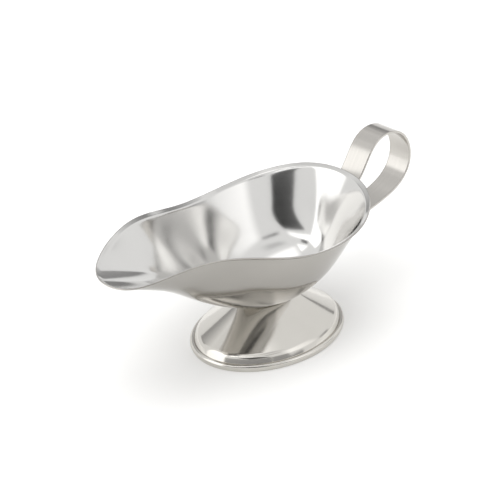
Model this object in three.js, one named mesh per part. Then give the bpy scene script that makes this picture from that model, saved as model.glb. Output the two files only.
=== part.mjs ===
// Footed sauce boat, pressed and welded from polished stainless steel sheet.
// Millimetres, +Z up, +X from the pouring lip to the handle, mirrored about the plane y = 0.
import * as THREE from 'three';

// Sheet gauges and clearances
const BOWL_SHEET = 0.8;
const FOOT_SHEET = 0.8;
const STRAP_THICKNESS = 1.2;
const STRAP_WIDTH = 13.2;
const JOINT_GAP = 0.3; // left between joined pieces, where the joining metal runs

// Outer edge of the bowl: control points of a closed cubic B-spline, measured from the foot's centre
const SPOUT_TIP = { x: -117.4, y: 0, z: 74.6 };
const SPOUT_CORNER = { x: -111.5, y: 18.3, z: 76.6 };
const SPOUT_SHOULDER = { x: -69.9, y: 30.0, z: 85.8 };
const WAIST = { x: -19.6, y: 43.1, z: 62.4 };
const BELLY = { x: 28.1, y: 43.5, z: 62.6 };
const BACK_CORNER = { x: 53.6, y: 23.9, z: 69.2 };
const BACK = { x: 59.6, y: 0, z: 70.0 };

// Flared lip around the bowl
const LIP_WIDTH = 2.4;
const LIP_RISE = THREE.MathUtils.degToRad(28); // above the horizontal, going outwards

// Floor of the bowl, on its underside
const FLOOR_HEIGHT = 24.2;
const FLOOR_HALF_LENGTH = 24;
const FLOOR_HALF_WIDTH = 17;
const FLOOR_FLAT = 0.7; // share of the floor's control oval that stays flat

// Control rings of the wall, as shares of the way out and up from the floor to the lip,
// one for each of the edge's points from the spout's tip down one side to the back
const LOWER_WALL = [
  { out: 0.31, up: 0.29 },
  { out: 0.31, up: 0.29 },
  { out: 0.39, up: 0.28 },
  { out: 0.48, up: 0.26 },
  { out: 0.42, up: 0.28 },
  { out: 0.48, up: 0.19 },
  { out: 0.55, up: 0.09 },
];
const UPPER_WALL = [
  { out: 0.6, up: 0.7 },
  { out: 0.6, up: 0.7 },
  { out: 0.68, up: 0.65 },
  { out: 0.76, up: 0.6 },
  { out: 0.68, up: 0.63 },
  { out: 0.76, up: 0.64 },
  { out: 0.84, up: 0.65 },
];

// Foot: oval, with a rolled bead, a steep riser, a shoulder and a hollow skirt up to the neck
const FOOT_HALF_LENGTH = 44.8;
const FOOT_HALF_WIDTH = 33.9;
const BEAD_HEIGHT = 3.8;
const BEAD_WIDTH = 3.0;
const BEAD_FLAT = 1.4; // width of the flat that it stands on
const BEAD_CROWN_TURN = THREE.MathUtils.degToRad(115); // from the bead's outer side over to the riser
const SHOULDER_INSET = 3.5;
const SHOULDER_HEIGHT = 7.2;
const NECK_HALF_LENGTH = 16.3;
const NECK_HALF_WIDTH = 12.3;
const NECK_CORNER = 0.8; // chamfer between the neck and the seat under the bowl
const FLARE_POWER = 1.06; // 1 is a straight cone, and higher is more hollow
const SEAM_LEG = 1.3;
const SEAT_HEIGHT = FLOOR_HEIGHT - JOINT_GAP;

// Handle: a bent strap whose two tabs lie against the back wall
const UPPER_TAB_DEPTH = 11.5; // from the edge's point at the back down to the tab
const UPPER_TAB_LENGTH = 8.5;
const LOWER_TAB_HEIGHT = 7.3; // from the floor up to the tab
const LOWER_TAB_LENGTH = 7.1;
const UPPER_TAB_TOP = BACK.z - UPPER_TAB_DEPTH;
const LOWER_TAB_BOTTOM = FLOOR_HEIGHT + LOWER_TAB_HEIGHT;
const UPPER_TAB = { top: UPPER_TAB_TOP, bottom: UPPER_TAB_TOP - UPPER_TAB_LENGTH };
const LOWER_TAB = { top: LOWER_TAB_BOTTOM + LOWER_TAB_LENGTH, bottom: LOWER_TAB_BOTTOM };

// Control points of the loop's upper half, out from the wall and up from the top of the upper tab
const LOOP_START = { out: 14.1, up: 3.7 };
const LOOP_CREST = { out: 23.3, up: 25.1 };
const LOOP_SHOULDER = { out: 45.8, up: 22.5 };

// Control points of its lower half, out from the wall and up from the top of the lower tab
const LOOP_BACK = { out: 64.4, up: 24.4 };
const LOOP_HEEL = { out: 55.7, up: 7.5 };
const LOOP_END = { out: 25.0, up: 4.4 };

// Welds along the lower ends of the tabs
const WELD_LEG = 1.3;
const WELD_CROWN = 0.6; // how far the fillet's middle stands out, as a share of its legs
const WELD_END_MARGIN = 1.0; // the weld stops this far inside the strap's edges

// Fineness of the mesh
const BOWL_COLUMNS_PER_SPAN = 6;
const BOWL_ROWS_PER_SPAN = 4;
const FOOT_COLUMNS = 60;
const FLARE_ROWS = 8;
const BEAD_STEPS = 5;
const STRAP_ROWS_PER_SPAN = 4;
const STRAP_HALVES = 3;
const TANGENT_STEP = 0.01; // in spans of a spline
const HALVINGS = 20; // steps of a search

// A cubic spline has this many fewer spans than control points
const SPLINE_DEGREE = 3;

// Cubic B-spline weights of four control points at the share f of one span
function splineWeights(f) {
  const first = (1 - f) ** 3;
  const second = 3 * f ** 3 - 6 * f ** 2 + 4;
  const third = -3 * f ** 3 + 3 * f ** 2 + 3 * f + 1;
  const fourth = f ** 3;
  return [first, second, third, fourth].map((weight) => weight / 6);
}

// Point at parameter t of a B-spline, where t counts its spans
function splinePoint(controls, t, isClosed) {
  const count = controls.length;
  const lastSpan = isClosed ? Infinity : count - SPLINE_DEGREE - 1;
  const span = Math.min(Math.floor(t), lastSpan);
  const start = isClosed ? span - 1 : span;
  const point = new THREE.Vector3();
  splineWeights(t - span).forEach((weight, i) => {
    point.addScaledVector(controls[(start + i + count) % count], weight);
  });
  return point;
}

// Bowl edge: the named points down one side, then the same points mirrored back to the tip
const edgeSide = [SPOUT_TIP, SPOUT_CORNER, SPOUT_SHOULDER, WAIST, BELLY, BACK_CORNER, BACK];
const mirrored = edgeSide.slice(1, -1).reverse().map((p) => ({ x: p.x, y: -p.y, z: p.z }));
const edgeControls = [...edgeSide, ...mirrored].map((p) => new THREE.Vector3(p.x, p.y, p.z));
const COLUMNS = edgeControls.length;
const BACK_COLUMN = edgeSide.indexOf(BACK);
const SEARCH_COLUMNS = 1.5; // how far round the back a tab can reach

// Direction in plan from the edge into the bowl, at each control point
const inwards = edgeControls.map((_, j) => {
  const before = edgeControls[(j + COLUMNS - 1) % COLUMNS];
  const after = edgeControls[(j + 1) % COLUMNS];
  return new THREE.Vector3(after.y - before.y, before.x - after.x, 0).normalize();
});

// The lip's root, where it bends into the wall
const rootControls = edgeControls.map((edge, j) => {
  const root = edge.clone().addScaledVector(inwards[j], LIP_WIDTH * Math.cos(LIP_RISE));
  root.z -= LIP_WIDTH * Math.sin(LIP_RISE);
  return root;
});

// The floor's control oval and the wall's control rings
const floorControls = edgeControls.map((_, j) => {
  const angle = Math.PI - (2 * Math.PI * j) / COLUMNS;
  const x = FLOOR_HALF_LENGTH * Math.cos(angle);
  const y = FLOOR_HALF_WIDTH * Math.sin(angle);
  return new THREE.Vector3(x, y, FLOOR_HEIGHT);
});

function wallControls(profile) {
  return rootControls.map((root, j) => {
    const { out, up } = profile[Math.min(j, COLUMNS - j)];
    const point = floorControls[j].clone().lerp(root, out);
    point.z = THREE.MathUtils.lerp(FLOOR_HEIGHT, root.z, up);
    return point;
  });
}

const floorCentre = new THREE.Vector3(0, 0, FLOOR_HEIGHT);
const upperWallControls = wallControls(UPPER_WALL);
const bowlRings = [
  floorControls.map(() => floorCentre),
  floorControls.map((point) => floorCentre.clone().lerp(point, FLOOR_FLAT)),
  floorControls,
  wallControls(LOWER_WALL),
  upperWallControls,
  rootControls,
  rootControls.map((root, j) => root.clone().multiplyScalar(2).sub(upperWallControls[j])),
];
const WALL_SPANS = bowlRings.length - SPLINE_DEGREE;

// Underside of the bowl: u goes round from the tip, v goes up from the flat floor to the lip's root
function underside(u, v) {
  return splinePoint(bowlRings.map((ring) => splinePoint(ring, u, true)), v, false);
}

// Unit normal of the wall, pointing into the bowl
function intoBowl(u, v) {
  const low = Math.max(v - TANGENT_STEP, 0);
  const high = Math.min(v + TANGENT_STEP, WALL_SPANS);
  const along = underside(u + TANGENT_STEP, v).sub(underside(u - TANGENT_STEP + COLUMNS, v));
  const upwards = underside(u, high).sub(underside(u, low));
  return along.cross(upwards).normalize();
}

// Closed body from rings of points. The last ring joins the first as a 'loop', or each end is closed,
// by a 'fan' round its middle or 'across' from one half of the ring to the other
function closedBody(rings, ends) {
  const count = rings[0].length;
  const points = rings.flat();
  const index = [];
  const addQuad = (a, b, c, d) => index.push(a, b, c, a, c, d);
  const spans = ends === 'loop' ? rings.length : rings.length - 1;
  for (let k = 0; k < spans; k++) {
    const here = k * count;
    const next = ((k + 1) % rings.length) * count;
    for (let j = 0; j < count; j++) {
      const turn = (j + 1) % count;
      addQuad(here + j, next + j, next + turn, here + turn);
    }
  }
  if (ends === 'loop') {
    return facingOut(points, index);
  }
  [0, (rings.length - 1) * count].forEach((start) => {
    const order = Array.from({ length: count }, (_, j) => (start === 0 ? j : count - 1 - j) + start);
    if (ends === 'fan') {
      const centre = points.length;
      points.push(order.reduce((sum, k) => sum.add(points[k]), new THREE.Vector3()).divideScalar(count));
      order.forEach((k, j) => index.push(centre, k, order[(j + 1) % count]));
    } else {
      for (let j = 0; j < count / 2 - 1; j++) {
        addQuad(order[j], order[j + 1], order[count - 2 - j], order[count - 1 - j]);
      }
    }
  });
  return facingOut(points, index);
}

// Geometry whose triangles are turned round where they would enclose a negative volume
function facingOut(points, index) {
  let volume = 0;
  for (let i = 0; i < index.length; i += 3) {
    const [a, b, c] = index.slice(i, i + 3).map((k) => points[k]);
    volume += a.dot(b.clone().cross(c));
  }
  const order = volume < 0 ? index.slice().reverse() : index;
  const geometry = new THREE.BufferGeometry().setFromPoints(points);
  geometry.setIndex(order);
  geometry.computeVertexNormals();
  return geometry;
}

// Bowl: one sheet, with its lip flared outwards
function bowlGeometry() {
  const columns = COLUMNS * BOWL_COLUMNS_PER_SPAN;
  const rows = WALL_SPANS * BOWL_ROWS_PER_SPAN;
  const us = Array.from({ length: columns }, (_, j) => j / BOWL_COLUMNS_PER_SPAN);
  const outside = [];
  const inside = [];
  for (let i = 0; i < rows; i++) {
    const v = i / BOWL_ROWS_PER_SPAN;
    outside.push(us.map((u) => underside(u, v)));
    inside.push(us.map((u) => underside(u, v).addScaledVector(intoBowl(u, v), BOWL_SHEET)));
  }
  const rootOutside = us.map((u) => splinePoint(rootControls, u, true));
  const edgeOutside = us.map((u) => splinePoint(edgeControls, u, true));
  const lipNormals = us.map((u) => {
    const across = splinePoint(rootControls, u, true).sub(splinePoint(edgeControls, u, true));
    return across.setZ(0).normalize().multiplyScalar(Math.sin(LIP_RISE)).setZ(Math.cos(LIP_RISE));
  });
  const rootInside = us.map((u, j) => {
    const bisector = intoBowl(u, WALL_SPANS).add(lipNormals[j]).normalize();
    return rootOutside[j].clone().addScaledVector(bisector, BOWL_SHEET);
  });
  const edgeInside = edgeOutside.map((p, j) => p.clone().addScaledVector(lipNormals[j], BOWL_SHEET));
  const lip = [rootOutside, edgeOutside, edgeInside, rootInside];
  return closedBody([...outside, ...lip, ...inside.reverse()], 'fan');
}

// Ring of points on an oval about the foot's centre
function oval(halfLength, halfWidth, z) {
  return Array.from({ length: FOOT_COLUMNS }, (_, j) => {
    const angle = (2 * Math.PI * j) / FOOT_COLUMNS;
    return new THREE.Vector3(halfLength * Math.cos(angle), halfWidth * Math.sin(angle), z);
  });
}

// Oval set in from the foot's outer edge
function footOval(inset, z) {
  return oval(FOOT_HALF_LENGTH - inset, FOOT_HALF_WIDTH - inset, z);
}

// Ring round the rolled bead, at an angle above the horizontal that is 0 on its outer side
function beadRing(angle) {
  const halfWidth = BEAD_WIDTH / 2;
  return footOval(halfWidth - halfWidth * Math.cos(angle), (BEAD_HEIGHT / 2) * (1 + Math.sin(angle)));
}

// Ring round the skirt, at a share of its height and a depth below its outer surface
function flareRow(height, depth) {
  const neckHeight = SEAT_HEIGHT - NECK_CORNER;
  const rise = neckHeight - SHOULDER_HEIGHT;
  const spread = (1 - height) ** FLARE_POWER;
  const lengthRun = FOOT_HALF_LENGTH - SHOULDER_INSET - NECK_HALF_LENGTH;
  const widthRun = FOOT_HALF_WIDTH - SHOULDER_INSET - NECK_HALF_WIDTH;
  const run = (lengthRun + widthRun) / 2;
  const slope = Math.atan2(rise, run * FLARE_POWER * (1 - height) ** (FLARE_POWER - 1));
  const inset = depth * Math.sin(slope);
  const z = SHOULDER_HEIGHT + rise * height - depth * Math.cos(slope);
  const halfLength = NECK_HALF_LENGTH + lengthRun * spread - inset;
  const halfWidth = NECK_HALF_WIDTH + widthRun * spread - inset;
  return oval(halfLength, halfWidth, z);
}

// Rings round the bead from one angle to another
function beadRings(from, to) {
  return Array.from({ length: BEAD_STEPS + 1 }, (_, i) => {
    return beadRing(THREE.MathUtils.lerp(from, to, i / BEAD_STEPS));
  });
}

// Foot: one sheet pressed to a hollow skirt, its top flat under the bowl and its edge rolled to a bead
function footGeometry() {
  const heights = Array.from({ length: FLARE_ROWS + 1 }, (_, i) => i / FLARE_ROWS);
  const flareOutside = heights.map((height) => flareRow(height, 0)).reverse();
  const flareInside = heights.map((height) => flareRow(height, FOOT_SHEET));
  const flatStart = (BEAD_WIDTH - BEAD_FLAT) / 2;
  const beadTurn = Math.acos(BEAD_FLAT / BEAD_WIDTH);
  const seatLength = NECK_HALF_LENGTH - NECK_CORNER;
  const seatWidth = NECK_HALF_WIDTH - NECK_CORNER;
  return closedBody([
    oval(seatLength, seatWidth, SEAT_HEIGHT),
    ...flareOutside,
    ...beadRings(BEAD_CROWN_TURN, -beadTurn),
    footOval(flatStart, 0),
    footOval(flatStart + BEAD_FLAT, 0),
    ...beadRings(Math.PI + beadTurn, Math.PI),
    footOval(BEAD_WIDTH, BEAD_HEIGHT),
    ...flareInside,
    oval(seatLength - FOOT_SHEET, seatWidth - FOOT_SHEET, SEAT_HEIGHT - FOOT_SHEET),
  ], 'fan');
}

// Braze seam: a fillet round the neck, in the corner under the bowl's floor, as deep as the chamfer there
function footSeamGeometry() {
  const ring = (away, down) => {
    const outset = JOINT_GAP + away;
    return oval(NECK_HALF_LENGTH + outset, NECK_HALF_WIDTH + outset, SEAT_HEIGHT - down);
  };
  const middle = ring(SEAM_LEG / 2, NECK_CORNER / 2);
  return closedBody([ring(0, 0), ring(SEAM_LEG, 0), middle, ring(0, NECK_CORNER)], 'loop');
}

// Value between low and high at which a rising measure reaches its target
function solve(measure, target, low, high) {
  let [from, to] = [low, high];
  for (let i = 0; i < HALVINGS; i++) {
    const middle = (from + to) / 2;
    if (measure(middle) < target) {
      from = middle;
    } else {
      to = middle;
    }
  }
  return (from + to) / 2;
}

// Place on the outside of the back wall at height z and sideways distance y
function backWallPlace(z, y) {
  const sideways = (v) => (turn) => underside(BACK_COLUMN - turn, v).y;
  const column = (v) => BACK_COLUMN - solve(sideways(v), Math.abs(y), 0, SEARCH_COLUMNS);
  const v = solve((row) => underside(column(row), row).z, z, 0, WALL_SPANS);
  return { u: column(v), v };
}

function backWall(z, y) {
  const place = backWallPlace(z, y);
  return underside(place.u, place.v).setY(y);
}

// Directions on the back wall's middle line: away from the bowl, and up along the wall
function backWallFrame(z) {
  const place = backWallPlace(z, 0);
  const away = intoBowl(place.u, place.v).negate().setY(0).normalize();
  return { away, up: new THREE.Vector3(-away.z, 0, away.x) };
}

// How far the wall falls away from its middle line at a sideways distance y
function wallDish(z, y) {
  return backWall(z, y).x - backWall(z, 0).x;
}

// Control points of a tab's middle line on the wall, from one height to another
function tabControls(fromZ, toZ) {
  return [0, 0.5, 1].map((share) => {
    const z = THREE.MathUtils.lerp(fromZ, toZ, share);
    return backWall(z, 0).addScaledVector(backWallFrame(z).away, JOINT_GAP + STRAP_THICKNESS / 2);
  });
}

// Control points of the loop, placed from the wall at the top of a tab
function loopControls(places, tab) {
  const wall = backWall(tab.top, 0);
  return places.map(({ out, up }) => new THREE.Vector3(wall.x + out, 0, wall.z + up));
}

// Strap: swept along its middle line, dished across its tabs to fit the wall
function strapGeometry() {
  const upper = tabControls(UPPER_TAB.bottom, UPPER_TAB.top);
  const lower = tabControls(LOWER_TAB.top, LOWER_TAB.bottom);
  const loop = [
    ...loopControls([LOOP_START, LOOP_CREST, LOOP_SHOULDER], UPPER_TAB),
    ...loopControls([LOOP_BACK, LOOP_HEEL, LOOP_END], LOWER_TAB),
  ];
  const lead = upper[0].clone().multiplyScalar(2).sub(upper[1]);
  const tail = lower[2].clone().multiplyScalar(2).sub(lower[1]);
  const controls = [lead, ...upper, ...loop, ...lower, tail];
  const spans = controls.length - SPLINE_DEGREE;
  const dishedSpans = upper.length;
  const sideways = [];
  for (let i = -STRAP_HALVES; i <= STRAP_HALVES; i++) {
    sideways.push((STRAP_WIDTH / 2) * (i / STRAP_HALVES));
  }
  const dishes = [UPPER_TAB, LOWER_TAB].map((tab) => sideways.map((y) => ({
    top: wallDish(tab.top, y),
    bottom: wallDish(tab.bottom, y),
  })));
  const face = sideways.map((y, column) => ({ y, column, side: 1 }));
  const section = [...face, ...face.map((place) => ({ ...place, side: -1 })).reverse()];
  const rows = spans * STRAP_ROWS_PER_SPAN;
  const rings = [];
  for (let i = 0; i <= rows; i++) {
    const t = i / STRAP_ROWS_PER_SPAN;
    const point = splinePoint(controls, t, false);
    const ahead = splinePoint(controls, Math.min(t + TANGENT_STEP, spans), false);
    const behind = splinePoint(controls, Math.max(t - TANGENT_STEP, 0), false);
    const along = ahead.sub(behind).normalize();
    const normal = new THREE.Vector3(-along.z, 0, along.x).multiplyScalar(STRAP_THICKNESS / 2);
    const isUpper = t < spans / 2;
    const tab = isUpper ? UPPER_TAB : LOWER_TAB;
    const fit = THREE.MathUtils.clamp(dishedSpans - (isUpper ? t : spans - t), 0, 1);
    rings.push(section.map(({ y, column, side }) => {
      const place = point.clone().addScaledVector(normal, side);
      const height = THREE.MathUtils.clamp((place.z - tab.bottom) / (tab.top - tab.bottom), 0, 1);
      const dish = dishes[isUpper ? 0 : 1][column];
      const shift = fit * THREE.MathUtils.lerp(dish.bottom, dish.top, height);
      return new THREE.Vector3(place.x + shift, y, place.z);
    }));
  }
  return closedBody(rings, 'across');
}

// Weld: a fillet along a tab's lower end, between the strap and the wall
function weldGeometry(tab) {
  const { away, up } = backWallFrame(tab.bottom);
  const halfWidth = STRAP_WIDTH / 2 - WELD_END_MARGIN;
  const crown = WELD_LEG * WELD_CROWN;
  const corners = [[0, 0], [WELD_LEG, 0], [crown, crown], [0, WELD_LEG]];
  const rings = [];
  for (let i = -STRAP_HALVES; i <= STRAP_HALVES; i++) {
    const y = halfWidth * (i / STRAP_HALVES);
    const wall = backWall(tab.bottom, y);
    rings.push(corners.map(([off, down]) => wall.clone()
      .addScaledVector(away, JOINT_GAP + off)
      .addScaledVector(up, -JOINT_GAP - down)));
  }
  return closedBody(rings, 'across');
}

// Named mesh with its own finish
function piece(name, geometry, color, roughness) {
  const material = new THREE.MeshStandardMaterial({ color, roughness, metalness: 1 });
  const mesh = new THREE.Mesh(geometry, material);
  mesh.name = name;
  return mesh;
}

const boat = new THREE.Group();
boat.add(
  piece('bowl', bowlGeometry(), 0xcdccc8, 0.12),
  piece('foot', footGeometry(), 0xc8c7c2, 0.1),
  piece('foot_braze_seam', footSeamGeometry(), 0xbdbbb4, 0.3),
  piece('handle_strap', strapGeometry(), 0xc2c0bc, 0.28),
  piece('handle_upper_weld', weldGeometry(UPPER_TAB), 0xb9b7b1, 0.35),
  piece('handle_lower_weld', weldGeometry(LOWER_TAB), 0xb9b7b1, 0.35),
);

// The origin lies at the middle of the whole length, on the surface that the foot stands on
const extent = new THREE.Box3().setFromObject(boat);
boat.position.set(-(extent.min.x + extent.max.x) / 2, 0, 0);

export default boat;
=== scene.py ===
# Footed sauce boat of polished stainless steel, standing on white. Lengths are in metres.
import math

import bmesh
import bpy
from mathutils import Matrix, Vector


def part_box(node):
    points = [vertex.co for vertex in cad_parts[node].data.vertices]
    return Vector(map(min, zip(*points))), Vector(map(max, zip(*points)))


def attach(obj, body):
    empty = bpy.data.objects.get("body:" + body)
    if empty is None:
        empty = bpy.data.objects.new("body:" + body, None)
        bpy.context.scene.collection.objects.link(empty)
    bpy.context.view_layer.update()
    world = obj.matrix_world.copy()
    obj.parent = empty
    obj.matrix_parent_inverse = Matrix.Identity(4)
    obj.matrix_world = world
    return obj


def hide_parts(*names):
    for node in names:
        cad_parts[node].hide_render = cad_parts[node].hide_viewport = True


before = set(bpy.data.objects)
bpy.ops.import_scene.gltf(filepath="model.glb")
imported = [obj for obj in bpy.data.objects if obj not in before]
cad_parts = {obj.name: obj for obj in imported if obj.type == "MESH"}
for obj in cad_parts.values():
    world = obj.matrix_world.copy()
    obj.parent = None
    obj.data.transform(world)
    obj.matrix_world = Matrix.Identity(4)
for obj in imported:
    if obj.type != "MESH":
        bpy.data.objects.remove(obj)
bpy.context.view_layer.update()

# Bowl
# One stainless steel sheet, pressed to an oval and drawn out into a broad pouring lip, with its edge
# flared outwards. It is mirror polished inside and on the lip, and buffed once, more softly, outside.
BOWL_SHEET = 0.0008
# Control points of the edge, from the tip of the lip to the back, counted from the middle of the foot
SPOUT_TIP = (-0.1174, 0, 0.0746)
SPOUT_CORNER = (-0.1115, 0.0183, 0.0766)
SPOUT_SHOULDER = (-0.0699, 0.0300, 0.0858)
WAIST = (-0.0196, 0.0431, 0.0624)
BELLY = (0.0281, 0.0435, 0.0626)
BACK_CORNER = (0.0536, 0.0239, 0.0692)
BACK = (0.0596, 0, 0.0700)
LIP_WIDTH = 0.0024
LIP_RISE = math.radians(28)
FLOOR_HEIGHT = 0.0242
FLOOR_HALF_LENGTH = 0.024
FLOOR_HALF_WIDTH = 0.017
FLOOR_FLAT = 0.7
# Each ring of the wall, as shares of the way out and up from the floor to the lip, from tip to back
LOWER_WALL = [
    (0.31, 0.29),
    (0.31, 0.29),
    (0.39, 0.28),
    (0.48, 0.26),
    (0.42, 0.28),
    (0.48, 0.19),
    (0.55, 0.09),
]
UPPER_WALL = [
    (0.60, 0.70),
    (0.60, 0.70),
    (0.68, 0.65),
    (0.76, 0.60),
    (0.68, 0.63),
    (0.76, 0.64),
    (0.84, 0.65),
]
BOWL_LEVELS = 4
BEND_CREASE = 0.6
SHEET_ROUNDING = 0.0003
ROUNDING_STEPS = 3
SHARP_EDGE = math.radians(60)
TOUCHING = 1e-6
MIRROR_COLOURS = ("#d9d8d6", "#d2d1cf")
MIRROR_ROUGHNESS = (0.09, 0.14)
PRESS_WAVE = 0.028
PRESS_WAVE_DEPTH = 0.00012
BUFF_WIDTH = 0.0012
BUFF_STRETCH = 0.08
# The outside's colours, darker than the inside's as painted shade for the shadowed paper that the outside
# reflects
OUTSIDE_SHADED_COLOURS = ("#b0ada8", "#a8a5a0")
OUTSIDE_ROUGHNESS = (0.09, 0.13)
BELT_MARK_SPACING = 0.0005
BELT_MARK_STRETCH = 0.06
BELT_MARK_DEPTH = 0.0000015
# Number of the Mix node's output that holds a colour
MIXED_COLOUR = 2

foot_low, foot_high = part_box("foot")
foot_centre = Vector(((foot_low.x + foot_high.x) / 2, 0, 0))


def deselect():
    bpy.ops.object.select_all(action="DESELECT")


def corners_at(piece, points):
    """Numbers of the piece's corners that lie at these points, in their order."""
    mesh = bmesh.from_edit_mesh(piece.data)
    return [next(v.index for v in mesh.verts if (v.co - point).length < TOUCHING) for point in points]


def drag(piece, corners, targets):
    """Each corner is taken hold of by itself and dragged to its target; all are left selected."""
    for corner, target in zip(corners, targets):
        mesh = bmesh.from_edit_mesh(piece.data)
        mesh.verts.ensure_lookup_table()
        bpy.ops.mesh.select_all(action="DESELECT")
        vertex = mesh.verts[corner]
        vertex.select_set(True)
        bpy.ops.transform.translate(value=target - vertex.co)
    select_corners(piece, corners)


def select_corners(piece, corners):
    mesh = bmesh.from_edit_mesh(piece.data)
    mesh.verts.ensure_lookup_table()
    bpy.ops.mesh.select_all(action="DESELECT")
    for corner in corners:
        mesh.verts[corner].select_set(True)
    mesh.select_flush(True)


def draw_out(piece, here, targets):
    """The open edge through these points is extruded, and its new corners dragged to their targets."""
    select_corners(piece, corners_at(piece, here))
    bpy.ops.mesh.extrude_edges_move()
    mesh = bmesh.from_edit_mesh(piece.data)
    new = [v for v in mesh.verts if v.select]
    order = [min(new, key=lambda v: (v.co - point).length).index for point in here]
    drag(piece, order, targets)


def apply_modifier(piece, kind, **settings):
    modifier = piece.modifiers.new(kind, kind)
    for name, value in settings.items():
        setattr(modifier, name, value)
    bpy.context.view_layer.objects.active = piece
    bpy.ops.object.modifier_apply(modifier=modifier.name)


def round_cut_edges(radius):
    """Rounds the cut edges of the active sheet, and shades it smooth."""
    bpy.ops.object.mode_set(mode="EDIT")
    bpy.ops.mesh.select_mode(type="EDGE")
    bpy.ops.mesh.select_all(action="DESELECT")
    bpy.ops.mesh.edges_select_sharp(sharpness=SHARP_EDGE)
    bpy.ops.mesh.bevel(offset=radius, segments=ROUNDING_STEPS)
    bpy.ops.object.mode_set(mode="OBJECT")
    bpy.ops.object.shade_smooth()


def linear(colour):
    """An sRGB hex colour as linear red, green, blue and alpha."""
    parts = [int(colour[i:i + 2], 16) / 255 for i in (1, 3, 5)]
    return [part / 12.92 if part <= 0.04045 else ((part + 0.055) / 1.055) ** 2.4 for part in parts] + [1]


def add_node(tree, kind, settings=None, sockets=None):
    """Adds a node. A socket, named by its identifier, is given a value or another node's output."""
    node = tree.nodes.new(kind)
    for name, value in (settings or {}).items():
        setattr(node, name, value)
    inputs = {socket.identifier: socket for socket in node.inputs}
    for name, value in (sockets or {}).items():
        if isinstance(value, bpy.types.NodeSocket):
            tree.links.new(value, inputs[name])
        else:
            inputs[name].default_value = value
    return node


def new_material(name):
    material = bpy.data.materials.new(name)
    material.use_nodes = True
    material.node_tree.nodes.clear()
    return material, material.node_tree


def make_metal(tree, tone, colours, marks, roughness, relief, depth):
    """The tone runs from one colour to the other, the marks change the gloss, and the relief stands proud."""
    tint = add_node(tree, "ShaderNodeMix", {"data_type": "RGBA"}, {
        "Factor_Float": tone, "A_Color": linear(colours[0]), "B_Color": linear(colours[1])})
    haze = add_node(tree, "ShaderNodeMapRange", None, {
        "Value": marks, "To Min": roughness[0], "To Max": roughness[1]})
    bump = add_node(tree, "ShaderNodeBump", None, {"Height": relief, "Distance": depth})
    metal = add_node(tree, "ShaderNodeBsdfPrincipled", None, {
        "Base Color": tint.outputs[MIXED_COLOUR], "Metallic": 1,
        "Roughness": haze.outputs["Result"], "Normal": bump.outputs["Normal"]})
    add_node(tree, "ShaderNodeOutputMaterial", None, {"Surface": metal.outputs["BSDF"]})


# Mirror polish: buffed on a mop to a bright, faintly wavy mirror. It gives the eye sharp reflections
# that bend a little where the press stretched the sheet, with soft streaks of buffing in them.
mirror_polish, tree = new_material("mirror_polished_stainless")
place = add_node(tree, "ShaderNodeTexCoord").outputs["Object"]
waves = add_node(tree, "ShaderNodeTexNoise", None, {"Vector": place, "Scale": 1 / PRESS_WAVE, "Detail": 1})
along = add_node(tree, "ShaderNodeMapping", None, {"Vector": place, "Scale": (BUFF_STRETCH, BUFF_STRETCH, 1)})
streaks = add_node(tree, "ShaderNodeTexNoise", None, {
    "Vector": along.outputs["Vector"], "Scale": 1 / BUFF_WIDTH, "Detail": 3})
make_metal(tree, waves.outputs["Fac"], MIRROR_COLOURS, streaks.outputs["Fac"], MIRROR_ROUGHNESS,
           waves.outputs["Fac"], PRESS_WAVE_DEPTH)

# Soft polish: the outside, buffed once over the marks of a fine belt. Its warm grey is darker than the same
# steel
# inside: that darkening is painted shade for the shadowed paper the outside reflects. It slightly blurs what
# it reflects.
# The real marks are about 0.05 mm apart and are drawn ten times coarser, so that they show.
soft_polish, tree = new_material("soft_polished_stainless_painted_shade")
place = add_node(tree, "ShaderNodeTexCoord").outputs["Object"]
clouds = add_node(tree, "ShaderNodeTexNoise", None, {"Vector": place, "Scale": 1 / PRESS_WAVE, "Detail": 2})
along = add_node(tree, "ShaderNodeMapping", None, {
    "Vector": place, "Scale": (BELT_MARK_STRETCH, BELT_MARK_STRETCH, 1)})
belt_marks = add_node(tree, "ShaderNodeTexNoise", None, {
    "Vector": along.outputs["Vector"], "Scale": 1 / BELT_MARK_SPACING, "Detail": 2})
make_metal(tree, clouds.outputs["Fac"], OUTSIDE_SHADED_COLOURS, belt_marks.outputs["Fac"], OUTSIDE_ROUGHNESS,
           belt_marks.outputs["Fac"], BELT_MARK_DEPTH)

# The bowl's edge: one side's points from the tip to the back, and the same points mirrored
edge_side = [SPOUT_TIP, SPOUT_CORNER, SPOUT_SHOULDER, WAIST, BELLY, BACK_CORNER, BACK]
mirrored = [(x, -y, z) for x, y, z in reversed(edge_side[1:-1])]
lip_edge = [foot_centre + Vector(point) for point in edge_side + mirrored]
columns = len(lip_edge)

lip_root = []
for j, point in enumerate(lip_edge):
    along = lip_edge[(j + 1) % columns] - lip_edge[j - 1]
    inwards = Vector((along.y, -along.x, 0)).normalized() * math.cos(LIP_RISE)
    lip_root.append(point + (inwards - Vector((0, 0, math.sin(LIP_RISE)))) * LIP_WIDTH)

floor_edge = []
for j in range(columns):
    angle = math.pi - 2 * math.pi * j / columns
    x = FLOOR_HALF_LENGTH * math.cos(angle)
    y = FLOOR_HALF_WIDTH * math.sin(angle)
    floor_edge.append(foot_centre + Vector((x, y, FLOOR_HEIGHT)))


def wall_ring(profile):
    """The wall's corners part of the way out and up from the floor to the lip, by the profile's shares."""
    ring = []
    for j, (low, high) in enumerate(zip(floor_edge, lip_root)):
        out, up = profile[min(j, columns - j)]
        point = low.lerp(high, out)
        point.z = low.z + (high.z - low.z) * up
        ring.append(point)
    return ring


floor_middle = foot_centre + Vector((0, 0, FLOOR_HEIGHT))
floor_flat = [floor_middle.lerp(point, FLOOR_FLAT) for point in floor_edge]
bowl_rings = [floor_flat, floor_edge, wall_ring(LOWER_WALL), wall_ring(UPPER_WALL), lip_root, lip_edge]

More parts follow.
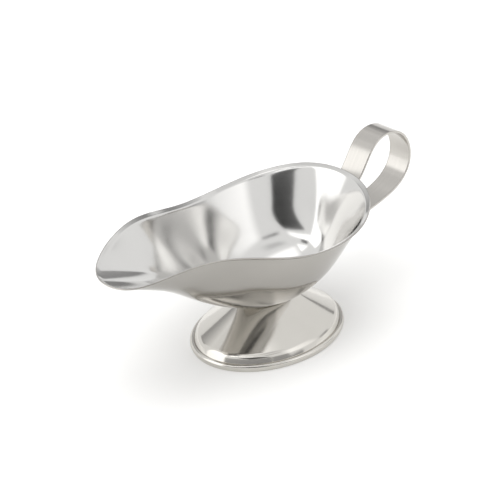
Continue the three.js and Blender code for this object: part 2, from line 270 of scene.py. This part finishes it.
deselect()
bpy.ops.mesh.primitive_circle_add(vertices=columns, radius=1, fill_type="NGON")
bowl = bpy.context.object
bowl.name = "bowl_sheet"
bpy.ops.object.mode_set(mode="EDIT")
bpy.ops.transform.resize(value=(FLOOR_FLAT * FLOOR_HALF_LENGTH, FLOOR_FLAT * FLOOR_HALF_WIDTH, 1))
bpy.ops.transform.translate(value=floor_middle)
for here, targets in zip(bowl_rings, bowl_rings[1:]):
    draw_out(bowl, here, targets)
select_corners(bowl, corners_at(bowl, lip_root))
bpy.ops.transform.edge_crease(value=BEND_CREASE)
bpy.ops.mesh.select_all(action="SELECT")
bpy.ops.mesh.normals_make_consistent(inside=True)
bpy.ops.object.mode_set(mode="OBJECT")
bowl.data.materials.append(soft_polish)
bowl.data.materials.append(mirror_polish)
apply_modifier(bowl, "SUBSURF", levels=BOWL_LEVELS, render_levels=BOWL_LEVELS)
apply_modifier(bowl, "SOLIDIFY", thickness=BOWL_SHEET, offset=-1, use_even_offset=True, material_offset=1)
round_cut_edges(SHEET_ROUNDING)
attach(bowl, "root")
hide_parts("bowl")

# Foot
# One stainless steel sheet, pressed to a hollow oval skirt with a shoulder and a steep riser, its edge
# rolled to a bead that it stands on. It is polished, and its flat top is brazed under the bowl's floor.
FOOT_SHEET = 0.0008
BEAD_HEIGHT = 0.0038
BEAD_WIDTH = 0.0030
BEAD_FLAT = 0.0014
BEAD_CROWN_TURN = math.radians(115)
SHOULDER_INSET = 0.0035
SHOULDER_HEIGHT = 0.0072
SHOULDER_ROUNDING = 0.0015
SHOULDER_STEPS = 4
NECK_HALF_LENGTH = 0.0163
NECK_HALF_WIDTH = 0.0123
NECK_CORNER = 0.0008
FLARE_POWER = 1.06
FOOT_CORNERS = 144
FLARE_ROWS = 16
BEAD_STEPS = 14
SMOOTH_UNDER = math.radians(35)
FOOT_COLOURS = ("#d4d1cb", "#cbc8c2")
FOOT_ROUGHNESS = (0.10, 0.15)
FOOT_WAVE = 0.020
FOOT_WAVE_DEPTH = 0.00008

foot_half_length = (foot_high.x - foot_low.x) / 2
foot_half_width = foot_high.y
seat_height = foot_high.z


def inset_oval(inset, z):
    return foot_half_length - inset, foot_half_width - inset, z


def bead_oval(angle):
    across = BEAD_WIDTH / 2 * (1 - math.cos(angle))
    return inset_oval(across, BEAD_HEIGHT / 2 * (1 + math.sin(angle)))


def flare_oval(height, depth):
    """Oval at a share of the flare's height, and a depth below its outer surface."""
    rise = seat_height - NECK_CORNER - SHOULDER_HEIGHT
    length_run = foot_half_length - SHOULDER_INSET - NECK_HALF_LENGTH
    width_run = foot_half_width - SHOULDER_INSET - NECK_HALF_WIDTH
    spread = (1 - height) ** FLARE_POWER
    run = (length_run + width_run) / 2
    slope = math.atan2(rise, run * FLARE_POWER * (1 - height) ** (FLARE_POWER - 1))
    half_length = NECK_HALF_LENGTH + length_run * spread - depth * math.sin(slope)
    half_width = NECK_HALF_WIDTH + width_run * spread - depth * math.sin(slope)
    return half_length, half_width, SHOULDER_HEIGHT + rise * height - depth * math.cos(slope)


def steps(first, last, count):
    return [first + (last - first) * i / count for i in range(count + 1)]


def pull_ring(here, there):
    """The selected ring is extruded, widened or narrowed to the next oval, and moved to its height."""
    bpy.ops.mesh.extrude_edges_move()
    bpy.ops.transform.resize(value=(there[0] / here[0], there[1] / here[1], 1), center_override=foot_centre)
    bpy.ops.transform.translate(value=(0, 0, there[2] - here[2]))


def on_oval(vertex, oval):
    offset = vertex.co - foot_centre
    around = (offset.x / oval[0]) ** 2 + (offset.y / oval[1]) ** 2
    return abs(offset.z - oval[2]) < TOUCHING and abs(around - 1) < TOUCHING / oval[1]


def select_edges(piece, wanted):
    """Selects the edges for which wanted(edge) holds."""
    bpy.ops.mesh.select_all(action="DESELECT")
    bpy.ops.mesh.select_mode(type="EDGE")
    mesh = bmesh.from_edit_mesh(piece.data)
    for edge in mesh.edges:
        if wanted(edge):
            edge.select_set(True)
    bmesh.update_edit_mesh(piece.data)


# Colour polish: one mop and compound, so a little softer than the bowl's inside. It gives the eye
# reflections with blurred edges that follow the flare.
colour_polish, tree = new_material("colour_polished_stainless")
place = add_node(tree, "ShaderNodeTexCoord").outputs["Object"]
waves = add_node(tree, "ShaderNodeTexNoise", None, {"Vector": place, "Scale": 1 / FOOT_WAVE, "Detail": 2})
around = add_node(tree, "ShaderNodeMapping", None, {
    "Vector": place, "Scale": (BUFF_STRETCH, BUFF_STRETCH, 1)})
streaks = add_node(tree, "ShaderNodeTexNoise", None, {
    "Vector": around.outputs["Vector"], "Scale": 1 / BUFF_WIDTH, "Detail": 3})
make_metal(tree, waves.outputs["Fac"], FOOT_COLOURS, streaks.outputs["Fac"], FOOT_ROUGHNESS,
           waves.outputs["Fac"], FOOT_WAVE_DEPTH)

heights = steps(0, 1, FLARE_ROWS)
bead_turn = math.acos(BEAD_FLAT / BEAD_WIDTH)
flat_start = (BEAD_WIDTH - BEAD_FLAT) / 2
seat = (NECK_HALF_LENGTH - NECK_CORNER, NECK_HALF_WIDTH - NECK_CORNER, seat_height)
foot_ovals = [seat]
foot_ovals += [flare_oval(height, 0) for height in reversed(heights)]
foot_ovals += [bead_oval(angle) for angle in steps(BEAD_CROWN_TURN, -bead_turn, BEAD_STEPS)]
foot_ovals += [inset_oval(flat_start, 0), inset_oval(flat_start + BEAD_FLAT, 0)]
foot_ovals += [bead_oval(angle) for angle in steps(math.pi + bead_turn, math.pi, BEAD_STEPS)]
foot_ovals += [inset_oval(BEAD_WIDTH, BEAD_HEIGHT)]
foot_ovals += [flare_oval(height, FOOT_SHEET) for height in heights]
foot_ovals += [(seat[0] - FOOT_SHEET, seat[1] - FOOT_SHEET, seat[2] - FOOT_SHEET)]

deselect()
bpy.ops.mesh.primitive_circle_add(vertices=FOOT_CORNERS, radius=1, fill_type="NGON")
foot = bpy.context.object
foot.name = "foot_sheet"
bpy.ops.object.mode_set(mode="EDIT")
bpy.ops.transform.resize(value=(seat[0], seat[1], 1))
bpy.ops.transform.translate(value=foot_centre + Vector((0, 0, seat[2])))
for here, there in zip(foot_ovals, foot_ovals[1:]):
    pull_ring(here, there)
bpy.ops.mesh.edge_face_add()
bpy.ops.mesh.select_all(action="SELECT")
bpy.ops.mesh.normals_make_consistent(inside=False)
shoulders = [flare_oval(0, 0), flare_oval(0, FOOT_SHEET)]
select_edges(foot, lambda edge: any(all(on_oval(v, oval) for v in edge.verts) for oval in shoulders))
bpy.ops.mesh.bevel(offset=SHOULDER_ROUNDING, segments=SHOULDER_STEPS)
bpy.ops.object.mode_set(mode="OBJECT")
bpy.ops.object.shade_smooth_by_angle(angle=SMOOTH_UNDER)
foot.data.materials.append(colour_polish)
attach(foot, "root")
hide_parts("foot")

# Braze
# The silver braze that runs between the foot's flat top and the bowl's floor, and shows round the
# neck as a hollow fillet.
BRAZE_LEG = 0.0014
BRAZE_DROP = 0.0009
BRAZE_CLEAR = 0.00002
BRAZE_STEPS = 5
# The braze's colours, darkened as painted shade for the shadow in the crevice where the foot meets the bowl
BRAZE_AND_SHADE_COLOURS = ("#7d796f", "#6a665e")
BRAZE_ROUGHNESS = (0.18, 0.34)
BRAZE_GRAIN = 0.0018
BRAZE_GRAIN_DEPTH = 0.00003

neck = (NECK_HALF_LENGTH + BRAZE_CLEAR, NECK_HALF_WIDTH + BRAZE_CLEAR, FLOOR_HEIGHT - BRAZE_CLEAR)
braze_ovals = [neck]
for angle in steps(0, math.pi / 2, BRAZE_STEPS):
    away = BRAZE_LEG * (1 - math.sin(angle))
    down = BRAZE_DROP * (1 - math.cos(angle))
    braze_ovals.append((neck[0] + away, neck[1] + away, neck[2] - down))

# Silver braze, polished over: yellower than the steel, with a fine orange-peel where it froze. Its colour is
# also darkened as painted shade for the crevice where foot meets bowl, so it gives the eye a thin dark line
# under the bowl.
silver_braze, tree = new_material("silver_braze_painted_shade")
place = add_node(tree, "ShaderNodeTexCoord").outputs["Object"]
grain = add_node(tree, "ShaderNodeTexNoise", None, {"Vector": place, "Scale": 1 / BRAZE_GRAIN, "Detail": 2})
make_metal(tree, grain.outputs["Fac"], BRAZE_AND_SHADE_COLOURS, grain.outputs["Fac"], BRAZE_ROUGHNESS,
           grain.outputs["Fac"], BRAZE_GRAIN_DEPTH)

deselect()
bpy.ops.mesh.primitive_circle_add(vertices=FOOT_CORNERS, radius=1, fill_type="NOTHING")
braze = bpy.context.object
braze.name = "neck_braze"
bpy.ops.object.mode_set(mode="EDIT")
bpy.ops.transform.resize(value=(neck[0], neck[1], 1))
bpy.ops.transform.translate(value=foot_centre + Vector((0, 0, neck[2])))
for here, there in zip(braze_ovals, braze_ovals[1:] + braze_ovals[:1]):
    pull_ring(here, there)
bpy.ops.mesh.select_all(action="SELECT")
bpy.ops.mesh.remove_doubles(threshold=TOUCHING)
bpy.ops.mesh.normals_make_consistent(inside=False)
bpy.ops.object.mode_set(mode="OBJECT")
bpy.ops.object.shade_smooth_by_angle(angle=SMOOTH_UNDER)
braze.data.materials.append(silver_braze)
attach(braze, "root")
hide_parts("foot_braze_seam")

# Handle
# A strip of stainless steel bent to a loop for one finger, brushed along its length. Its two ends are
# dished to lie against the back wall, and are welded there.
STRAP_THICKNESS = 0.0012
STRAP_WIDTH = 0.0132
STRAP_SEAT = 0.00005
UPPER_TAB = (0.0500, 0.0585)
LOWER_TAB = (0.0315, 0.0386)
# Control points of the loop, out from the wall and up, counted from the wall at each tab's upper end
UPPER_LOOP = [(0.0141, 0.0037), (0.0233, 0.0250), (0.0458, 0.0224)]
LOWER_LOOP = [(0.0643, 0.0243), (0.0557, 0.0075), (0.0250, 0.0044)]
STRAP_STRIPS = 4
TAB_STRIPS = 2
GRID_HALF = 0.5
STRAP_LEVELS = 4
STRAP_ROUNDING = 0.0003
BRUSHED_COLOURS = ("#c6c3be", "#bbb8b3")
BRUSHED_ROUGHNESS = (0.12, 0.18)
BRUSH_SPACING = 0.0004
BRUSH_STRETCH = 0.02
BRUSH_DEPTH = 0.000006


def wall_at(y, z):
    """Place and direction of the bowl's outer back wall, met straight in from a metre behind."""
    _, place, normal, _ = bowl.ray_cast((1, y, z), (-1, 0, 0))
    return place, normal


# Brushed along its length: lines that keep their place across the strip, so they follow the loop
# round. It gives the eye broad soft bands of light with fine lines in them. The real lines are about
# 0.1 mm apart and are drawn four times coarser, so that they show.
brushed, tree = new_material("brushed_stainless_strip")
place = add_node(tree, "ShaderNodeTexCoord").outputs["Object"]
across = add_node(tree, "ShaderNodeMapping", None, {
    "Vector": place, "Scale": (BRUSH_STRETCH, 1, BRUSH_STRETCH)})
brush_lines = add_node(tree, "ShaderNodeTexNoise", None, {
    "Vector": across.outputs["Vector"], "Scale": 1 / BRUSH_SPACING, "Detail": 2})
make_metal(tree, brush_lines.outputs["Fac"], BRUSHED_COLOURS, brush_lines.outputs["Fac"], BRUSHED_ROUGHNESS,
           brush_lines.outputs["Fac"], BRUSH_DEPTH)

sideways = steps(-STRAP_WIDTH / 2, STRAP_WIDTH / 2, STRAP_STRIPS)


def tab_rows(first, last):
    rows = []
    for z in steps(first, last, TAB_STRIPS):
        away = wall_at(0, z)[1] * (STRAP_SEAT + STRAP_THICKNESS / 2)
        rows.append([wall_at(y, z)[0] + away for y in sideways])
    return rows


def loop_rows(places, tab):
    wall = wall_at(0, tab[1])[0]
    return [[Vector((wall.x + out, y, wall.z + up)) for y in sideways] for out, up in places]


strap_rows = tab_rows(*UPPER_TAB) + loop_rows(UPPER_LOOP, UPPER_TAB)
strap_rows += loop_rows(LOWER_LOOP, LOWER_TAB) + tab_rows(*reversed(LOWER_TAB))

deselect()
bpy.ops.mesh.primitive_grid_add(x_subdivisions=STRAP_STRIPS, y_subdivisions=1, size=2 * GRID_HALF)
strap = bpy.context.object
strap.name = "strap"
bpy.ops.object.mode_set(mode="EDIT")
for end, row in zip((-GRID_HALF, GRID_HALF), strap_rows):
    start = [Vector((x, end, 0)) for x in steps(-GRID_HALF, GRID_HALF, STRAP_STRIPS)]
    drag(strap, corners_at(strap, start), row)
for here, targets in zip(strap_rows[1:], strap_rows[2:]):
    draw_out(strap, here, targets)
bpy.ops.mesh.select_all(action="SELECT")
bpy.ops.mesh.normals_make_consistent(inside=False)
bpy.ops.object.mode_set(mode="OBJECT")
apply_modifier(strap, "SUBSURF", levels=STRAP_LEVELS, render_levels=STRAP_LEVELS)
apply_modifier(strap, "SOLIDIFY", thickness=STRAP_THICKNESS, offset=0, use_even_offset=True)
round_cut_edges(STRAP_ROUNDING)
strap.data.materials.append(brushed)
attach(strap, "root")
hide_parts("handle_strap")

# Welds
# A weld along the lower end of each tab joins it to the wall. Each is ground and buffed, and keeps
# the faint ripple of the beads that it was laid in.
WELD_LEG = 0.0015
WELD_CROWN = 0.8
WELD_END_MARGIN = 0.0010
WELD_BEADS = 7
WELD_RIPPLE = 0.12
WELD_LEVELS = 2
WELD_COLOURS = ("#bdb9b3", "#a8a39b")
WELD_ROUGHNESS = (0.28, 0.45)
WELD_GRAIN = 0.0012
WELD_GRAIN_DEPTH = 0.00003


def weld_rings(tab):
    normal = wall_at(0, tab[0])[1]
    away = Vector((normal.x, 0, normal.z)).normalized()
    down = Vector((away.z, 0, -away.x))
    half = STRAP_WIDTH / 2 - WELD_END_MARGIN
    rings = []
    for i, y in enumerate(steps(-half, half, WELD_BEADS * 2)):
        leg = WELD_LEG * (1 + (WELD_RIPPLE if i % 2 else -WELD_RIPPLE))
        wall = wall_at(y, tab[0])[0]
        corners = [(0, -leg / 2), (leg, -leg / 2), (leg * WELD_CROWN, leg * WELD_CROWN), (0, leg)]
        rings.append([wall + away * out + down * low for out, low in corners])
    return rings


def lay_weld(name, node, tab):
    rings = weld_rings(tab)
    ring_corners = len(rings[0])
    deselect()
    bpy.ops.mesh.primitive_circle_add(vertices=ring_corners, radius=1, fill_type="NGON")
    weld = bpy.context.object
    weld.name = name
    bpy.ops.object.mode_set(mode="EDIT")
    drag(weld, range(ring_corners), rings[0])
    for here, targets in zip(rings, rings[1:]):
        draw_out(weld, here, targets)
    bpy.ops.mesh.edge_face_add()
    bpy.ops.mesh.select_all(action="SELECT")
    bpy.ops.mesh.normals_make_consistent(inside=False)
    bpy.ops.object.mode_set(mode="OBJECT")
    apply_modifier(weld, "SUBSURF", levels=WELD_LEVELS, render_levels=WELD_LEVELS)
    bpy.ops.object.shade_smooth()
    weld.data.materials.append(buffed_weld)
    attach(weld, "root")
    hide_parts(node)


# Ground and buffed weld: the strap's own steel, a little darker from the heat, with a soft uneven
# gloss over the ripple.
buffed_weld, tree = new_material("buffed_stainless_weld")
place = add_node(tree, "ShaderNodeTexCoord").outputs["Object"]
grain = add_node(tree, "ShaderNodeTexNoise", None, {"Vector": place, "Scale": 1 / WELD_GRAIN, "Detail": 3})
make_metal(tree, grain.outputs["Fac"], WELD_COLOURS, grain.outputs["Fac"], WELD_ROUGHNESS,
           grain.outputs["Fac"], WELD_GRAIN_DEPTH)

lay_weld("upper_tab_weld", "handle_upper_weld", UPPER_TAB)
lay_weld("lower_tab_weld", "handle_lower_weld", LOWER_TAB)

# Stage
# White paper under the boat in a white room. Lamp and room light the paper to white, a little glow in
# what the camera and the metal see of it keeps the boat's shadow soft, and the room is seen white.
FLOOR_SIDE = 2.4
FLOOR_COLOUR = "#fbfbfa"
FLOOR_GLOW = 0.16
SWEEP_STRENGTH = 1.0
AMBIENT_COLOUR = "#fdfcfb"
AMBIENT_STRENGTH = 0.76
WHITE = "#ffffff"


def seen_ray(tree):
    """One for a ray from the camera, or one by way of metal or glass; nought for a lighting ray."""
    path = add_node(tree, "ShaderNodeLightPath")
    either = add_node(tree, "ShaderNodeMath", {"operation": "MAXIMUM"}, {
        "Value": path.outputs["Is Camera Ray"], "Value_001": path.outputs["Is Glossy Ray"]})
    return add_node(tree, "ShaderNodeMath", {"operation": "MAXIMUM"}, {
        "Value": either.outputs["Value"], "Value_001": path.outputs["Is Transmission Ray"]}).outputs["Value"]


white_sweep, tree = new_material("white_paper_sweep")
paper = add_node(tree, "ShaderNodeBsdfDiffuse", None, {"Color": linear(FLOOR_COLOUR)})
glow = add_node(tree, "ShaderNodeEmission", None, {"Color": linear(WHITE), "Strength": SWEEP_STRENGTH})
share_seen = add_node(tree, "ShaderNodeMath", {"operation": "MULTIPLY"}, {
    "Value": seen_ray(tree), "Value_001": FLOOR_GLOW})
blend = add_node(tree, "ShaderNodeMixShader", None, {
    "Fac": share_seen.outputs["Value"], "Shader": paper.outputs["BSDF"],
    "Shader_001": glow.outputs["Emission"]})
add_node(tree, "ShaderNodeOutputMaterial", None, {"Surface": blend.outputs["Shader"]})

deselect()
bpy.ops.mesh.primitive_plane_add(size=FLOOR_SIDE)
floor = bpy.context.object
floor.name = "floor"
floor.data.materials.append(white_sweep)

world = bpy.data.worlds.new("white_studio")
bpy.context.scene.world = world
world.use_nodes = True
tree = world.node_tree
tree.nodes.clear()
ambient = add_node(tree, "ShaderNodeBackground", None, {
    "Color": linear(AMBIENT_COLOUR), "Strength": AMBIENT_STRENGTH})
white = add_node(tree, "ShaderNodeBackground", None, {"Color": linear(WHITE), "Strength": SWEEP_STRENGTH})
blend = add_node(tree, "ShaderNodeMixShader", None, {
    "Fac": seen_ray(tree), "Shader": ambient.outputs["Background"],
    "Shader_001": white.outputs["Background"]})
add_node(tree, "ShaderNodeOutputWorld", None, {"Surface": blend.outputs["Shader"]})

# Soft lights and grey cards stand round the boat. Each is given by four corners: the first side's lower
# one, the second side's lower one, and the two above them. A corner has its turn and its height seen from
# the boat, in degrees, and its brightness, where the white room has 1. The turn counts from straight in
# front of the boat's side towards the handle. The feather is the share of a card, in from each edge, that
# fades into the room. The metal sees both kinds, and only the soft lights also light the paper.
STAGE_HEIGHT = 0.06
STAGE_CENTRE = foot_centre + Vector((0, 0, STAGE_HEIGHT))
CARD_DISTANCE = 1.3
CARD_HALF = 0.5
LAMP_DISTANCE = 1.6
OVERHEAD_TURN = -80
OVERHEAD_HEIGHT = 77
OVERHEAD_SPAN = (50, 50)
OVERHEAD_RADIANCE = 2.8
SOFT_LIGHTS = {
    "handle_side": (0.25, (50, 2, 1.10), (2, 5, 1.60), (50, 38, 1.10), (4, 38, 1.60)),
    "lip_side": (0.10, (-92, -6, 1.7), (-142, -8, 1.5), (-88, 46, 2.1), (-140, 46, 2.0)),
    "camera_high": (0.20, (-30, 33.5, 1.5), (-96, 31, 2.4), (-32, 40, 1.5), (-96, 43, 2.4)),
    "lip_high": (0.30, (-50, 54, 1.7), (-106, 50, 1.9), (-48, 78, 1.7), (-112, 78, 1.9)),
    "overhead": (0.25, (36, 54, 1.6), (-50, 57, 1.6), (60, 80, 1.6), (-140, 76, 1.6)),
}
GREY_CARDS = {
    "camera_side": (0.05, (-10, 17, 0.03), (-44, 17, 0.10), (-30, 33, 0.03), (-74, 30.5, 0.20)),
    "lip_gap": (0.30, (-60, 42, 0.25), (-94, 46, 0.05), (-62, 54, 0.25), (-98, 54, 0.20)),
    "camera_top": (0.30, (16, 31.5, 0.70), (-24, 33.5, 0.20), (14, 38, 0.70), (-24, 39, 0.30)),
    "overhead_gap": (0.40, (22, 40, 0.70), (-26, 47, 0.70), (24, 56, 0.70), (-38, 58, 0.75)),
    "handle_low": (0.20, (46, 0, 0.60), (66, 0, 0.35), (46, 14, 0.95), (66, 14, 0.45)),
    "front_low": (0.02, (-12, -1, 0.22), (26, -1, 0.22), (-12, 14, 0.50), (26, 8, 0.50)),
    "camera_low": (0.02, (-92, -1, 0.30), (-12, -1, 0.22), (-92, 12.5, 0.52), (-12, 14, 0.45)),
    "behind_handle": (0.03, (92, 9, 0.22), (130, 13, 0.28), (92, 41, 0.85), (130, 43, 0.90)),
    "behind_lip": (0.03, (130, 13, 0.28), (196, 20, 0.36), (130, 43, 0.90), (196, 46, 1.00)),
    "high_handle": (0.03, (62, 43, 0.85), (130, 45, 0.90), (50, 80, 0.85), (130, 80, 0.85)),
    "high_lip": (0.03, (130, 45, 0.90), (200, 46, 0.95), (130, 80, 0.85), (210, 72, 0.80)),
}


def seen_from_boat(turn, height):
    turn, height = math.radians(turn), math.radians(height)
    return Vector((math.sin(turn) * math.cos(height), -math.cos(turn) * math.cos(height), math.sin(height)))


def span(degrees, distance):
    return 2 * distance * math.tan(math.radians(degrees) / 2)


def stand_card(name, distance, feather, corners):
    """A card with its own brightness at each corner, which fades into the white room at its edges."""
    card_face, tree = new_material(name)
    place = add_node(tree, "ShaderNodeTexCoord").outputs["UV"]
    share_of = add_node(tree, "ShaderNodeSeparateXYZ", None, {"Vector": place})
    sides = []
    for low, high in ((0, 2), (1, 3)):
        sides.append(add_node(tree, "ShaderNodeMapRange", None, {
            "Value": share_of.outputs["Y"], "To Min": corners[low][2], "To Max": corners[high][2]}))
    tone = add_node(tree, "ShaderNodeMix", None, {
        "Factor_Float": share_of.outputs["X"], "A_Float": sides[0].outputs["Result"],
        "B_Float": sides[1].outputs["Result"]})
    centred = add_node(tree, "ShaderNodeVectorMath", {"operation": "SUBTRACT"}, {
        "Vector": place, "Vector_001": (CARD_HALF, CARD_HALF, 0)})
    from_middle = add_node(tree, "ShaderNodeVectorMath", {"operation": "ABSOLUTE"}, {
        "Vector": centred.outputs["Vector"]})
    parted = add_node(tree, "ShaderNodeSeparateXYZ", None, {"Vector": from_middle.outputs["Vector"]})
    fades = [add_node(tree, "ShaderNodeMapRange", {"interpolation_type": "SMOOTHSTEP"}, {
        "Value": parted.outputs[axis], "From Min": CARD_HALF - feather, "From Max": CARD_HALF,
        "To Min": 1, "To Max": 0}) for axis in ("X", "Y")]
    mask = add_node(tree, "ShaderNodeMath", {"operation": "MULTIPLY"}, {
        "Value": fades[0].outputs["Result"], "Value_001": fades[1].outputs["Result"]})
    faded = add_node(tree, "ShaderNodeMix", None, {
        "Factor_Float": mask.outputs["Value"], "A_Float": SWEEP_STRENGTH, "B_Float": tone.outputs["Result"]})
    paint = add_node(tree, "ShaderNodeEmission", None, {"Strength": faded.outputs["Result"]})
    add_node(tree, "ShaderNodeOutputMaterial", None, {"Surface": paint.outputs["Emission"]})
    deselect()
    bpy.ops.mesh.primitive_plane_add(size=2 * CARD_HALF)
    card = bpy.context.object
    card.name = name
    bpy.ops.object.mode_set(mode="EDIT")
    targets = [STAGE_CENTRE + seen_from_boat(turn, height) * distance for turn, height, _ in corners]
    drag(card, range(len(targets)), targets)
    bpy.ops.object.mode_set(mode="OBJECT")
    card.data.materials.append(card_face)
    card.visible_camera = False
    card.visible_shadow = False
    return card


# The lamp's power is its radiance times pi times its area, and an ellipse's area is a quarter of pi times
# its two spans.
away = seen_from_boat(OVERHEAD_TURN, OVERHEAD_HEIGHT)
bpy.ops.object.light_add(type="AREA", location=STAGE_CENTRE + away * LAMP_DISTANCE,
                         rotation=away.to_track_quat("Z", "Y").to_euler())
overhead = bpy.context.object
overhead.name = "softbox_overhead"
overhead.data.shape = "ELLIPSE"
overhead.data.size = span(OVERHEAD_SPAN[0], LAMP_DISTANCE)
overhead.data.size_y = span(OVERHEAD_SPAN[1], LAMP_DISTANCE)
overhead.data.energy = OVERHEAD_RADIANCE * math.pi * math.pi / 4 * overhead.data.size * overhead.data.size_y
overhead.visible_camera = False
overhead.visible_glossy = False
for name, (feather, *corners) in SOFT_LIGHTS.items():
    stand_card("soft_light_" + name, CARD_DISTANCE, feather, corners)
for name, (feather, *corners) in GREY_CARDS.items():
    stand_card("grey_card_" + name, CARD_DISTANCE, feather, corners).visible_diffuse = False

# Camera
# The photograph's view: from between the boat's side and its pouring lip, looking down into the bowl,
# from far enough away that the boat's outlines hardly converge.
CAMERA_TURN = math.radians(48.96)
CAMERA_HEIGHT = math.radians(29.24)
CAMERA_DISTANCE = 2.0
CAMERA_AIM = foot_centre + Vector((-0.003, 0, 0.035))
CAMERA_LENS = 288
PICTURE_SIDE = 500
AIM_IN_PICTURE = (263.4, 273.7)

back = Vector((-math.sin(CAMERA_TURN) * math.cos(CAMERA_HEIGHT),
               -math.cos(CAMERA_TURN) * math.cos(CAMERA_HEIGHT),
               math.sin(CAMERA_HEIGHT)))
turned = (math.pi / 2 - CAMERA_HEIGHT, 0, -CAMERA_TURN)
bpy.ops.object.camera_add(location=CAMERA_AIM + back * CAMERA_DISTANCE, rotation=turned)
camera = bpy.context.object
camera.data.lens = CAMERA_LENS
camera.data.shift_x = (PICTURE_SIDE / 2 - AIM_IN_PICTURE[0]) / PICTURE_SIDE
camera.data.shift_y = (AIM_IN_PICTURE[1] - PICTURE_SIDE / 2) / PICTURE_SIDE
bpy.context.scene.camera = camera
bpy.context.scene.view_settings.view_transform = "Standard"
